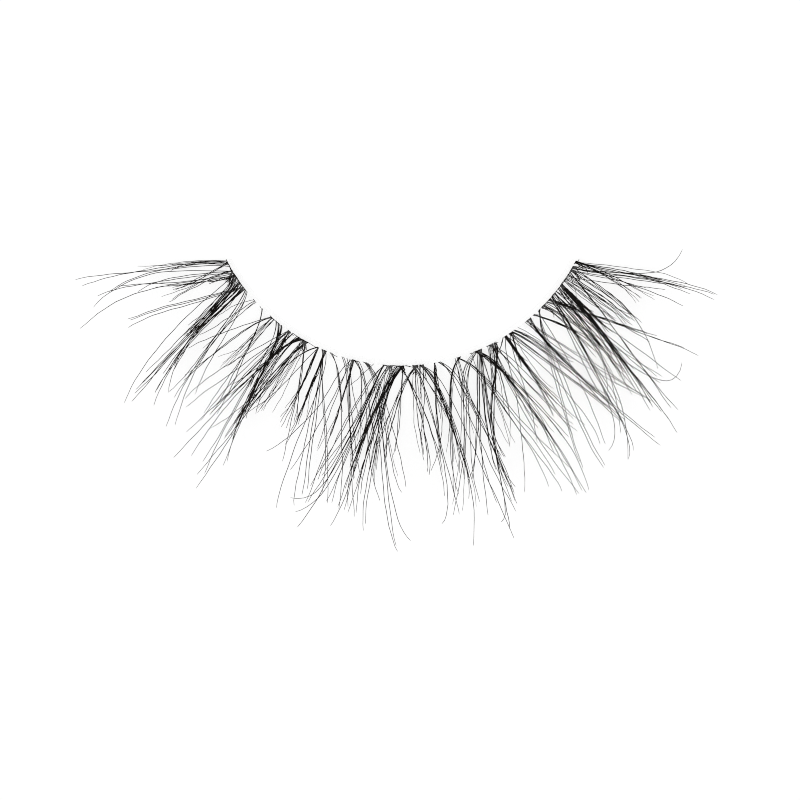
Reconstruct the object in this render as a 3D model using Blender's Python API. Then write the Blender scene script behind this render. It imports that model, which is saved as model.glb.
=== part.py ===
"""False eyelash strip: a clear arc-shaped band and the tied clusters of curled fibre it carries.

Places on the strip are given by a bearing and a reach. The bearing is the angle in degrees about
the centre of the band's arc, zero at the middle of the strip and positive to its right. The reach
is the distance in millimetres outward from the band's outer edge. The strip lies on its underside
with the fibres curling up. Shapes are worked out in millimetres and turned into metres at the end.
"""

import math
from collections import namedtuple

import bmesh
import bpy
from mathutils import Matrix, Vector

METRES_PER_MM = 0.001

BAND_LENGTH = 33.0
BAND_SWEEP = 124.3
BAND_WIDTH = 0.45
BAND_THICKNESS = 0.22
BAND_FACETS = 61
BAND_RADIUS = BAND_LENGTH / math.radians(BAND_SWEEP)

KNOT_INNER_REACH = 0.08
KNOT_OUTER_REACH = 0.38
KNOT_END_PAD = 0.35
KNOT_FACET_ANGLE = 2.0
KNOT_COVER = 0.05

LAYER_COUNT = 4
LAYER_STEP = 0.19

LOCK_ROOT_REACH = 0.2
LOCK_HALF_WIDTH = 0.12
LOCK_HALF_HEIGHT = 0.065
LOCK_TIP_SHARE = 0.35
LOCK_SEGMENT = 1.85
LOCK_SEGMENTS_LEAST = 3
LOCK_SEGMENTS_MOST = 8
LOCK_FLOOR_GAP = 0.02
LOCK_STAGGER = 0.009

CURL_FLAT_REACH = 1.4
CURL_RADIUS = 15.5

SHARP_EDGE_ANGLE = 50.0

Finish = namedtuple("Finish", "name colour roughness alpha")

CLEAR_POLYMER = Finish("clear_polymer", (0.86, 0.87, 0.86), 0.28, 0.35)
BLACK_FIBRE = Finish("black_fibre", (0.014, 0.011, 0.010), 0.42, 1.0)

# root, middle and tip are bearings; the middle is where the lock is at half its reach
Lock = namedtuple("Lock", "root middle tip reach")

CLUSTERS = (
    (
        Lock(-61.8, -68.1, -69.5, 10.7),
        Lock(-61.2, -67.0, -71.0, 11.0),
        Lock(-61.0, -65.1, -66.6, 4.1),
        Lock(-60.3, -66.8, -65.3, 10.5),
        Lock(-61.6, -61.6, -61.5, 4.2),
    ),
    (
        Lock(-58.2, -64.0, -67.6, 9.9),
        Lock(-58.0, -64.2, -63.3, 11.8),
        Lock(-58.8, -60.3, -60.9, 5.6),
        Lock(-57.9, -52.9, -51.6, 9.7),
        Lock(-57.6, -54.6, -50.1, 12.4),
    ),
    (
        Lock(-56.6, -52.0, -49.2, 11.1),
        Lock(-56.4, -54.3, -52.8, 5.3),
        Lock(-55.8, -51.6, -48.6, 11.9),
        Lock(-55.2, -51.3, -47.9, 10.2),
        Lock(-54.8, -58.8, -60.9, 8.6),
    ),
    (
        Lock(-53.9, -51.1, -46.3, 10.9),
        Lock(-53.6, -51.6, -48.2, 7.9),
        Lock(-52.3, -51.0, -47.8, 8.8),
        Lock(-52.2, -50.9, -45.6, 9.4),
        Lock(-52.4, -47.4, -45.2, 9.4),
    ),
    (
        Lock(-50.4, -45.9, -42.6, 8.1),
        Lock(-50.2, -46.2, -42.7, 11.4),
        Lock(-48.2, -50.4, -51.2, 3.0),
        Lock(-47.8, -49.1, -50.5, 4.8),
        Lock(-47.5, -47.8, -47.5, 5.3),
    ),
    (
        Lock(-44.9, -39.6, -37.2, 8.6),
        Lock(-41.4, -46.8, -50.3, 6.1),
        Lock(-41.2, -45.1, -45.3, 8.0),
        Lock(-40.6, -41.5, -42.4, 5.4),
        Lock(-40.2, -39.9, -39.1, 8.8),
    ),
    (
        Lock(-39.2, -34.7, -33.3, 12.4),
        Lock(-38.4, -33.7, -32.9, 9.4),
        Lock(-37.2, -33.1, -30.4, 11.2),
        Lock(-36.8, -36.9, -37.4, 8.4),
    ),
    (
        Lock(-35.0, -41.3, -43.9, 8.9),
        Lock(-34.8, -39.3, -41.9, 9.3),
        Lock(-34.4, -37.5, -39.0, 10.7),
        Lock(-34.1, -34.2, -33.0, 8.2),
    ),
    (
        Lock(-31.8, -35.1, -37.0, 6.9),
        Lock(-31.4, -35.8, -36.3, 11.9),
        Lock(-30.5, -36.5, -38.2, 12.8),
    ),
    (
        Lock(-29.4, -32.2, -32.0, 13.7),
        Lock(-29.0, -32.3, -36.0, 9.4),
        Lock(-28.8, -24.2, -22.8, 8.9),
        Lock(-28.4, -32.8, -33.1, 8.0),
        Lock(-28.0, -31.5, -33.0, 7.2),
    ),
    (
        Lock(-24.9, -24.8, -25.1, 6.3),
        Lock(-24.6, -28.5, -32.2, 6.8),
        Lock(-24.3, -19.6, -18.0, 11.7),
    ),
    (
        Lock(-22.8, -16.0, -12.5, 10.9),
        Lock(-22.6, -22.5, -22.1, 7.5),
        Lock(-22.4, -18.7, -16.4, 10.8),
        Lock(-22.0, -20.8, -20.4, 12.3),
    ),
    (
        Lock(-20.8, -12.6, -10.1, 11.2),
        Lock(-17.6, -11.0, -7.8, 11.2),
        Lock(-17.2, -11.8, -8.3, 8.7),
    ),
    (
        Lock(-15.0, -16.0, -17.2, 7.1),
        Lock(-14.5, -17.6, -20.5, 9.3),
        Lock(-14.3, -18.9, -25.6, 8.7),
        Lock(-13.8, -14.2, -14.8, 6.2),
        Lock(-13.9, -14.8, -15.7, 11.3),
    ),
    (
        Lock(-12.6, -8.2, -6.2, 6.2),
        Lock(-11.6, -9.7, -8.7, 6.1),
        Lock(-10.5, -3.8, -0.6, 13.9),
        Lock(-9.3, -2.9, 0.6, 13.1),
        Lock(-8.8, -2.2, 0.8, 9.1),
    ),
    (
        Lock(-5.0, -12.4, -15.6, 10.0),
        Lock(-4.2, -5.0, -5.3, 9.0),
        Lock(-3.6, -9.5, -12.4, 10.8),
        Lock(-3.5, -11.2, -15.8, 11.2),
        Lock(-2.7, -8.0, -10.8, 10.4),
    ),
    (
        Lock(-1.4, -6.2, -6.4, 12.5),
        Lock(-1.0, -7.9, -8.8, 11.2),
        Lock(-0.8, -6.1, -8.3, 11.3),
        Lock(0.4, -0.3, -1.2, 6.7),
        Lock(0.0, 6.0, 7.0, 9.6),
        Lock(0.2, 4.6, 5.6, 8.3),
    ),
    (
        Lock(4.4, -2.6, -5.0, 7.9),
        Lock(4.0, -1.8, -3.1, 7.4),
        Lock(3.9, 3.8, 4.2, 7.2),
        Lock(3.3, 6.8, 8.1, 6.8),
        Lock(3.4, 8.1, 6.4, 12.0),
        Lock(3.7, 8.0, 10.1, 11.5),
    ),
    (
        Lock(6.2, 11.4, 11.3, 7.0),
        Lock(6.6, 11.7, 11.9, 9.0),
        Lock(6.9, 11.8, 11.3, 14.0),
        Lock(7.0, 14.4, 16.5, 14.2),
        Lock(6.8, 5.7, 4.4, 5.2),
    ),
    (
        Lock(9.7, 8.3, 7.8, 7.2),
        Lock(11.0, 17.6, 19.0, 11.8),
        Lock(11.4, 16.0, 18.3, 12.3),
        Lock(11.6, 10.2, 9.3, 10.2),
        Lock(11.5, 9.4, 6.0, 8.0),
    ),
    (
        Lock(14.6, 11.6, 11.3, 8.0),
        Lock(15.8, 15.5, 15.4, 5.8),
        Lock(16.8, 16.7, 16.9, 5.0),
        Lock(16.5, 23.8, 25.4, 11.5),
    ),
    (
        Lock(19.0, 24.4, 27.4, 10.9),
        Lock(19.5, 25.2, 28.8, 10.9),
        Lock(21.0, 28.0, 28.3, 9.4),
        Lock(22.0, 28.8, 29.1, 13.2),
        Lock(21.8, 14.8, 12.0, 8.9),
    ),
    (
        Lock(23.2, 30.1, 31.0, 13.1),
        Lock(23.5, 29.5, 32.0, 8.9),
        Lock(23.8, 18.2, 16.0, 13.4),
        Lock(24.2, 17.3, 12.4, 9.2),
        Lock(24.4, 16.7, 15.7, 11.3),
    ),
    (
        Lock(26.0, 24.7, 23.8, 5.3),
        Lock(26.5, 31.1, 33.2, 8.9),
        Lock(26.8, 27.0, 28.4, 13.0),
        Lock(27.0, 32.4, 33.9, 8.0),
        Lock(27.2, 21.6, 19.2, 8.2),
        Lock(27.5, 20.9, 19.2, 10.6),
    ),
    (
        Lock(31.6, 32.3, 32.3, 7.0),
        Lock(31.5, 36.5, 36.2, 10.7),
        Lock(32.2, 32.8, 33.3, 6.4),
        Lock(32.0, 26.0, 20.2, 11.2),
        Lock(32.5, 29.3, 26.2, 8.2),
        Lock(33.2, 38.7, 41.1, 10.5),
        Lock(34.5, 39.8, 40.9, 8.6),
    ),
    (
        Lock(35.8, 40.4, 40.8, 7.7),
        Lock(38.5, 43.0, 46.6, 10.5),
        Lock(39.5, 44.0, 47.0, 10.9),
        Lock(40.3, 39.8, 41.0, 4.6),
        Lock(41.0, 36.4, 33.9, 12.3),
    ),
    (
        Lock(43.6, 39.9, 36.2, 10.9),
        Lock(43.0, 35.8, 30.9, 11.5),
        Lock(42.2, 46.5, 47.5, 5.5),
    ),
    (
        Lock(46.2, 46.4, 46.3, 5.6),
        Lock(46.4, 48.9, 53.0, 10.9),
        Lock(47.2, 49.5, 52.1, 10.2),
        Lock(48.3, 44.9, 42.2, 9.8),
    ),
    (
        Lock(49.4, 43.2, 36.5, 11.4),
        Lock(50.3, 45.9, 38.2, 12.9),
        Lock(50.0, 54.1, 58.1, 11.5),
        Lock(50.5, 53.8, 55.2, 7.9),
        Lock(51.2, 48.6, 40.4, 9.0),
        Lock(51.0, 50.4, 50.0, 10.4),
    ),
    (
        Lock(53.5, 48.9, 46.4, 13.8),
        Lock(53.0, 48.8, 47.2, 12.6),
        Lock(52.6, 49.0, 47.4, 11.2),
        Lock(53.8, 52.5, 52.2, 5.2),
        Lock(52.9, 52.9, 53.2, 11.5),
    ),
    (
        Lock(57.2, 52.0, 48.7, 12.7),
        Lock(56.2, 55.9, 55.9, 6.1),
        Lock(56.5, 57.0, 56.1, 5.8),
        Lock(57.5, 57.3, 56.5, 6.1),
    ),
    (
        Lock(58.7, 58.1, 57.2, 6.6),
        Lock(59.3, 58.2, 51.6, 9.6),
        Lock(60.0, 59.3, 57.7, 5.9),
        Lock(58.9, 65.5, 67.3, 10.6),
        Lock(59.5, 65.0, 67.3, 8.3),
        Lock(59.1, 63.4, 64.2, 8.7),
    ),
    (
        Lock(61.5, 66.5, 68.7, 10.7),
        Lock(61.2, 65.0, 67.2, 6.5),
        Lock(61.3, 66.1, 72.0, 7.1),
        Lock(61.6, 62.1, 61.3, 5.6),
    ),
)


def place(bearing, reach, height):
    """Return the point at a bearing, a reach beyond the band and a height above the floor."""
    angle = math.radians(bearing)
    radius = BAND_RADIUS + reach
    return Vector((radius * math.sin(angle), -radius * math.cos(angle), height))


def curl_height(reach):
    """Return how far the fibre curl has risen at a reach."""
    run = max(0.0, reach - CURL_FLAT_REACH)
    return CURL_RADIUS - math.sqrt(CURL_RADIUS**2 - run**2)


def lock_bearing(lock, share):
    """Return the bearing of a lock at a share of its reach, through its root, middle and tip."""
    linear = 4.0 * lock.middle - 3.0 * lock.root - lock.tip
    square = 2.0 * lock.root + 2.0 * lock.tip - 4.0 * lock.middle
    return lock.root + linear * share + square * share**2


def add_ring(bm, ring_points):
    """Add the points of one cross-section and return their vertices."""
    return [bm.verts.new(point) for point in ring_points]


def join_rings(bm, rings):
    """Add the side faces between successive cross-sections."""
    for near, far in zip(rings, rings[1:]):
        count = len(near)
        for index in range(count):
            following = (index + 1) % count
            bm.faces.new((near[index], near[following], far[following], far[index]))


def add_arc_bar(bm, start, end, facets, inner_reach, outer_reach, top):
    """Add a closed bar of rectangular section that follows the arc from one bearing to another."""
    rings = []
    for step in range(facets + 1):
        bearing = start + (end - start) * step / facets
        corners = (
            place(bearing, inner_reach, 0.0),
            place(bearing, outer_reach, 0.0),
            place(bearing, outer_reach, top),
            place(bearing, inner_reach, top),
        )
        rings.append(add_ring(bm, corners))
    join_rings(bm, rings)
    bm.faces.new(reversed(rings[0]))
    bm.faces.new(rings[-1])


def add_lock(bm, lock, base_height):
    """Add one tapered, curled lock of fibre with a diamond section and a pointed tip."""
    segments = round(lock.reach / LOCK_SEGMENT)
    segments = max(LOCK_SEGMENTS_LEAST, min(LOCK_SEGMENTS_MOST, segments))
    centres = []
    for step in range(segments + 1):
        share = step / segments
        reach = LOCK_ROOT_REACH + (lock.reach - LOCK_ROOT_REACH) * share
        height = base_height + curl_height(reach)
        centres.append(place(lock_bearing(lock, reach / lock.reach), reach, height))
    rings = []
    for step in range(segments):
        before = centres[max(0, step - 1)]
        along = (centres[step + 1] - before).normalized()
        side = along.cross(Vector((0.0, 0.0, 1.0))).normalized()
        upward = side.cross(along).normalized()
        taper = 1.0 - (1.0 - LOCK_TIP_SHARE) * step / segments
        reach_side = side * LOCK_HALF_WIDTH * taper
        reach_up = upward * LOCK_HALF_HEIGHT * taper
        centre = centres[step]
        corners = (
            centre + reach_side,
            centre + reach_up,
            centre - reach_side,
            centre - reach_up,
        )
        rings.append(add_ring(bm, corners))
    join_rings(bm, rings)
    bm.faces.new(reversed(rings[0]))
    tip = bm.verts.new(centres[-1])
    last = rings[-1]
    for index, corner in enumerate(last):
        bm.faces.new((corner, last[(index + 1) % len(last)], tip))


def make_object(name, bm):
    """Turn a mesh in the making into a named object, with its faces turned outward."""
    bmesh.ops.recalc_face_normals(bm, faces=bm.faces)
    mesh = bpy.data.meshes.new(name)
    bm.to_mesh(mesh)
    bm.free()
    obj = bpy.data.objects.new(name, mesh)
    bpy.context.scene.collection.objects.link(obj)
    return obj


def fuse(body, addition):
    """Fuse a second object into the first and remove the second."""
    addition.hide_render = True
    addition.display_type = "WIRE"
    modifier = body.modifiers.new("fuse", "BOOLEAN")
    modifier.operation = "UNION"
    modifier.solver = "EXACT"
    modifier.object = addition
    graph = bpy.context.evaluated_depsgraph_get()
    fused = bpy.data.meshes.new_from_object(body.evaluated_get(graph))
    body.modifiers.clear()
    body.data = fused
    bpy.data.objects.remove(addition, do_unlink=True)


def make_material(finish):
    """Make the plain material of a finish."""
    material = bpy.data.materials.new(finish.name)
    material.use_nodes = True
    shader = material.node_tree.nodes["Principled BSDF"]
    shader.inputs["Base Color"].default_value = (*finish.colour, 1.0)
    shader.inputs["Roughness"].default_value = finish.roughness
    shader.inputs["Metallic"].default_value = 0.0
    shader.inputs["Alpha"].default_value = finish.alpha
    return material


def make_band(material):
    """Make the clear strip that the clusters are tied to."""
    bm = bmesh.new()
    end = BAND_SWEEP / 2.0
    add_arc_bar(bm, -end, end, BAND_FACETS, -BAND_WIDTH, 0.0, BAND_THICKNESS)
    band = make_object("band", bm)
    band.data.materials.append(material)
    return band


def make_cluster(name, locks, layer, material):
    """Make one tied cluster: a knot bar by the band and the locks that leave it."""
    base_height = LOCK_FLOOR_GAP + LOCK_HALF_HEIGHT + layer * LAYER_STEP
    start = min(lock.root for lock in locks) - KNOT_END_PAD
    end = max(lock.root for lock in locks) + KNOT_END_PAD
    facets = max(1, round((end - start) / KNOT_FACET_ANGLE))
    knot = bmesh.new()
    top = base_height + len(locks) * LOCK_STAGGER + LOCK_HALF_HEIGHT + KNOT_COVER
    add_arc_bar(knot, start, end, facets, KNOT_INNER_REACH, KNOT_OUTER_REACH, top)
    cluster = make_object(name, knot)
    for index, lock in enumerate(locks):
        fibre = bmesh.new()
        add_lock(fibre, lock, base_height + index * LOCK_STAGGER)
        fuse(cluster, make_object(name + "_lock", fibre))
    cluster.data.materials.clear()
    cluster.data.materials.append(material)
    return cluster


def finish_pieces(pieces):
    """Centre the pieces over the origin, turn them into metres and set their shading."""
    points = [vertex.co for piece in pieces for vertex in piece.data.vertices]
    low = Vector([min(point[axis] for point in points) for axis in range(3)])
    high = Vector([max(point[axis] for point in points) for axis in range(3)])
    middle = (low + high) / 2.0
    shift = Matrix.Translation(Vector((-middle.x, -middle.y, -low.z)))
    scale = Matrix.Scale(METRES_PER_MM, 4)
    for piece in pieces:
        piece.data.transform(scale @ shift)
        piece.data.shade_smooth()
        piece.data.set_sharp_from_angle(angle=math.radians(SHARP_EDGE_ANGLE))


def main():
    """Build the strip."""
    for obj in list(bpy.data.objects):
        bpy.data.objects.remove(obj, do_unlink=True)
    black_fibre = make_material(BLACK_FIBRE)
    pieces = [make_band(make_material(CLEAR_POLYMER))]
    for index, locks in enumerate(CLUSTERS):
        name = f"lash_cluster_{index + 1:02d}"
        pieces.append(make_cluster(name, locks, index % LAYER_COUNT, black_fibre))
    finish_pieces(pieces)


main()
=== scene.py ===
"""Dresses the false eyelash strip hair by hair and sets it on a white table, seen from straight above.

A place on the strip has a bearing and a reach. The bearing is the angle in degrees about the centre
of the band's arc, zero at the middle of the strip and positive to its right. The reach is the
distance in millimetres outward from the band's outer edge. Heights are in millimetres above the
table. Meshes are worked out in these units and made in metres.
"""

import logging
import math
import random
from collections.abc import Mapping, Sequence
from dataclasses import dataclass
from enum import Enum

import bpy
import numpy as np
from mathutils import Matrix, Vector


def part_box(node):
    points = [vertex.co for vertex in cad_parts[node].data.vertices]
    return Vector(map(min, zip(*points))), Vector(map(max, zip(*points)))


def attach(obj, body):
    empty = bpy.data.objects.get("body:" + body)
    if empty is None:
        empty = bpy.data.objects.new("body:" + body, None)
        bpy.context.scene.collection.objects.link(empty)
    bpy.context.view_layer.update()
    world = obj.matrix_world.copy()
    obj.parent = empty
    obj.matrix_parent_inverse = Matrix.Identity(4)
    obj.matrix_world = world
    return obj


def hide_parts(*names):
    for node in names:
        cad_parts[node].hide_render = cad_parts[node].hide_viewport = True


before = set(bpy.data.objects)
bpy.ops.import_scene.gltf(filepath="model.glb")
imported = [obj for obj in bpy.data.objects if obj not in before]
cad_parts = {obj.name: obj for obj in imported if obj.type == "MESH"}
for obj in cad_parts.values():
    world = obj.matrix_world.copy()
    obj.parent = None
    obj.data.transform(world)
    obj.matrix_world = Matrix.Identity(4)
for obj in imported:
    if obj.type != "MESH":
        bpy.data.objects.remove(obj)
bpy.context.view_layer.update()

LOG = logging.getLogger("lash_strip")
METRES_PER_MM = 0.001
BAKE_MAP = "OFBake"
SHARE = "share"
STRAND = "strand"
BAND = "band"
WHITE = (1.0, 1.0, 1.0, 1.0)

Colour = tuple[float, float, float]


class Tone(Enum):
    """How strongly a fibre shows: its root thickness in millimetres."""

    DARK = 0.057
    PLAIN = 0.051
    FAINT = 0.039


DARK = Tone.DARK
PLAIN = Tone.PLAIN
FAINT = Tone.FAINT


@dataclass(frozen=True)
class Hair:
    """One charted fibre, or a few fibres that run together.

    The three bearings are where it leaves the band, where it is at half its reach and its tip. The
    lean is the share of the swing from root to middle that it makes at once, as it leaves the band.
    The hook is how many degrees its last stretch swings beyond that curve. The count is how many
    fibres run together there, and the tone is how strongly they show.
    """

    root: float
    middle: float
    tip: float
    reach: float
    lean: float
    count: int = 1
    tone: Tone = PLAIN
    hook: float = 0.0


LEFT_CORNER = (
    Hair(-60.0, -67.8, -71.2, 11.0, 0.2),
    Hair(-61.5, -68.0, -69.5, 10.7, 0.2),
    Hair(-61.0, -65.0, -66.5, 4.1, 0.2, 3, DARK),
    Hair(-61.0, -66.8, -67.7, 9.0, 0.2),
    Hair(-61.8, -66.6, -69.1, 6.3, 0.2, 2, FAINT),
    Hair(-58.5, -66.8, -65.3, 10.5, 0.0),
    Hair(-57.8, -64.7, -67.4, 9.9, 0.1),
    Hair(-57.8, -63.2, -67.9, 8.3, 0.0),
    Hair(-56.9, -64.2, -62.9, 12.1, 0.0),
    Hair(-57.2, -60.8, -64.3, 5.7, 0.0, 2),
    Hair(-58.5, -63.8, -65.0, 7.0, 0.0),
    Hair(-61.4, -61.5, -61.5, 4.6, 0.0, 3),
    Hair(-58.6, -60.6, -61.6, 5.6, 0.5, 1, FAINT),
    Hair(-58.8, -60.4, -60.5, 5.0, 0.5),
    Hair(-58.5, -60.0, -59.8, 5.3, 0.5),
    Hair(-53.0, -58.4, -61.0, 8.6, 0.0),
    Hair(-52.8, -58.0, -60.8, 8.5, 0.0),
    Hair(-52.8, -57.6, -60.4, 8.9, 0.0),
    Hair(-57.8, -54.6, -50.1, 12.4, 0.3),
)

FIRST_WISP = (
    Hair(-57.9, -52.9, -51.8, 9.7, 0.5),
    Hair(-57.6, -52.1, -49.6, 11.1, 0.5, 2, DARK),
    Hair(-56.4, -51.6, -48.6, 11.9, 0.5, 2, DARK),
    Hair(-55.2, -51.4, -47.9, 10.2, 0.2, 2, DARK),
    Hair(-56.8, -53.1, -52.0, 5.6, 0.3, 3, DARK),
    Hair(-54.8, -53.0, -52.4, 5.8, 0.3, 3, DARK),
    Hair(-53.0, -51.9, -51.1, 5.4, 0.3, 3, DARK),
    Hair(-54.5, -51.0, -46.3, 10.9, 0.4),
    Hair(-53.7, -51.7, -48.2, 7.9, 0.4, 2, DARK),
    Hair(-52.3, -51.3, -49.2, 8.8, 0.2, 2, DARK),
    Hair(-52.2, -50.9, -46.6, 9.4, 0.2, 1, PLAIN, 1.2),
    Hair(-57.0, -54.4, -52.8, 5.3, 0.3, 2),
    Hair(-48.2, -50.6, -51.2, 3.0, 0.2, 1, FAINT),
    Hair(-47.8, -49.1, -50.5, 4.8, 0.6),
    Hair(-47.6, -47.8, -47.4, 5.3, 0.5, 2, FAINT),
    Hair(-51.3, -45.9, -42.6, 8.1, 0.35),
    Hair(-51.3, -46.5, -42.7, 11.4, 0.5, 2),
    Hair(-52.0, -47.3, -45.2, 9.4, 0.2, 2),
)

SECOND_WISP = (
    Hair(-41.2, -46.9, -50.3, 6.1, 0.05),
    Hair(-41.0, -45.1, -45.3, 8.0, 0.35, 2, DARK),
    Hair(-44.9, -39.6, -37.2, 8.6, 0.4, 2, DARK),
    Hair(-40.7, -41.5, -42.4, 5.4, 0.5, 3, FAINT),
    Hair(-40.0, -40.4, -40.9, 5.0, 0.3, 2, FAINT),
    Hair(-40.8, -41.4, -43.7, 4.9, 0.5, 1, FAINT),
    Hair(-34.7, -41.0, -43.9, 8.9, 0.05),
    Hair(-34.6, -39.3, -41.9, 9.3, 0.0),
    Hair(-40.2, -39.9, -39.1, 8.8, 0.0),
    Hair(-34.0, -37.2, -38.9, 10.7, 0.1, 1, PLAIN, -0.6),
    Hair(-34.7, -38.1, -38.5, 9.4, 0.1),
    Hair(-39.4, -34.8, -33.3, 12.4, 0.5, 2),
    Hair(-38.4, -33.8, -32.9, 9.4, 0.5, 4, DARK),
    Hair(-37.2, -33.3, -30.4, 11.2, 0.5, 2),
    Hair(-34.3, -34.1, -33.0, 8.2, 0.2, 3, DARK),
    Hair(-37.3, -34.6, -33.4, 6.4, 0.6, 2, DARK),
    Hair(-31.0, -33.3, -33.2, 7.5, 0.6, 4, DARK),
    Hair(-34.8, -33.0, -32.0, 7.0, 0.2, 2),
    Hair(-33.2, -34.3, -33.6, 6.0, 0.3, 2, DARK),
    Hair(-30.0, -34.6, -35.0, 5.2, 0.5, 3, DARK),
    Hair(-30.0, -36.6, -38.2, 12.8, 0.5),
    Hair(-30.2, -35.9, -36.3, 11.9, 0.5),
    Hair(-31.8, -35.0, -38.2, 5.9, 0.0),
    Hair(-30.2, -35.2, -37.0, 6.9, 0.55, 2),
    Hair(-34.6, -36.7, -37.4, 8.4, 0.2, 2),
    Hair(-29.2, -32.3, -36.0, 9.4, 0.3),
    Hair(-28.4, -32.5, -33.1, 8.0, 0.3, 2),
    Hair(-28.4, -31.7, -33.0, 7.2, 0.25, 2),
    Hair(-28.8, -32.1, -33.3, 12.8, 0.3),
    Hair(-29.5, -32.2, -32.0, 13.7, 0.3),
    Hair(-28.9, -29.4, -30.7, 6.3, 0.5, 3, FAINT),
    Hair(-29.8, -30.3, -30.0, 6.5, 0.5, 2, FAINT),
)

THIRD_WISP = (
    Hair(-24.7, -28.4, -32.2, 6.8, 0.25),
    Hair(-24.8, -30.7, -31.6, 5.9, 0.45, 2),
    Hair(-28.5, -27.9, -27.3, 5.9, 0.3, 1, FAINT),
    Hair(-24.9, -24.8, -25.1, 6.3, 0.0, 2),
    Hair(-24.7, -24.6, -24.6, 6.6, 0.0, 2),
    Hair(-25.0, -24.9, -24.8, 4.0, 0.0, 1, DARK),
    Hair(-24.7, -24.7, -26.3, 5.2, 0.0, 1, FAINT),
    Hair(-29.2, -24.3, -22.8, 8.9, 0.05),
    Hair(-29.2, -25.3, -22.4, 5.9, 0.05, 2),
    Hair(-22.6, -22.4, -22.5, 5.9, 0.0, 3, DARK),
    Hair(-22.8, -22.5, -22.4, 3.8, 0.0, 2, DARK),
    Hair(-22.7, -22.5, -22.0, 7.7, 0.0),
    Hair(-22.3, -22.4, -22.3, 6.6, 0.0),
    Hair(-22.4, -22.2, -21.0, 5.2, 0.0, 1, FAINT),
    Hair(-23.2, -19.6, -18.2, 11.7, 0.3, 1, PLAIN, 1.2),
    Hair(-22.8, -16.2, -12.5, 10.9, -0.2),
    Hair(-22.7, -16.8, -13.2, 10.3, -0.2),
    Hair(-23.5, -19.2, -16.4, 10.8, 0.2, 2, DARK),
    Hair(-22.6, -20.8, -21.2, 12.3, 1.2, 1, PLAIN, 1.4),
    Hair(-21.2, -12.6, -10.1, 11.2, 0.4),
    Hair(-20.6, -16.2, -13.9, 4.0, 0.5, 2),
    Hair(-13.8, -14.2, -14.8, 6.2, 0.0, 2),
    Hair(-13.9, -14.8, -15.7, 11.3, 0.0),
    Hair(-14.2, -17.4, -20.5, 9.3, 0.2),
    Hair(-14.3, -19.5, -25.6, 8.7, 0.5),
    Hair(-15.0, -16.0, -17.2, 7.1, 0.2),
    Hair(-14.2, -14.6, -16.2, 7.3, 0.0, 1, FAINT),
    Hair(-17.5, -11.8, -8.3, 8.7, 0.3),
    Hair(-14.2, -11.6, -8.2, 8.8, -0.3, 2),
    Hair(-16.0, -11.8, -8.0, 5.1, 0.2),
    Hair(-17.0, -10.7, -7.6, 11.6, 0.3),
)

FOURTH_WISP = (
    Hair(-13.0, -9.6, -8.6, 5.9, 0.6, 2, FAINT),
    Hair(-8.0, -11.0, -14.1, 2.1, 0.2, 1, FAINT),
    Hair(-5.0, -9.9, -12.3, 10.8, 0.15),
    Hair(-5.0, -11.2, -15.3, 11.2, 0.15, 1, PLAIN, -3.0),
    Hair(-5.2, -11.0, -14.8, 12.1, 0.15, 1, PLAIN, -2.0),
    Hair(-4.8, -11.7, -15.4, 13.2, 0.15, 1, DARK, -0.5),
    Hair(-3.0, -8.3, -10.5, 11.0, 0.4),
    Hair(-2.8, -8.2, -10.4, 12.5, 0.4, 1, PLAIN, -1.4),
    Hair(-13.8, -7.6, -5.6, 6.2, 0.55, 2),
    Hair(-10.8, -3.8, -1.6, 13.9, 0.46, 1, PLAIN, 1.5),
    Hair(-10.6, -3.3, -1.4, 13.5, 0.45, 1, PLAIN, 0.7),
    Hair(-10.4, -2.9, -0.7, 13.1, 0.4, 1, PLAIN, 1.8),
    Hair(-10.3, -3.3, -0.6, 9.5, 0.45, 1, PLAIN, 1.0),
    Hair(-9.8, -3.5, -0.8, 8.3, 0.45, 1, FAINT),
    Hair(-10.2, -2.0, 0.8, 9.1, 0.4),
    Hair(-5.0, -12.4, -15.6, 10.0, 0.2, 2),
    Hair(-3.5, -10.9, -15.8, 11.2, 0.2),
    Hair(-5.0, -10.5, -14.4, 9.0, 0.1, 2),
    Hair(-3.6, -9.5, -12.4, 10.8, 0.3),
    Hair(0.8, -6.9, -9.2, 8.2, 0.2, 4, DARK),
    Hair(-1.2, -6.5, -8.5, 7.4, 0.1, 3, DARK),
    Hair(-3.2, -7.8, -10.2, 9.6, 0.4),
    Hair(-12.5, -7.4, -4.1, 10.2, 0.5),
    Hair(-4.2, -5.0, -5.3, 9.0, 0.4, 1, FAINT),
)

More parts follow.
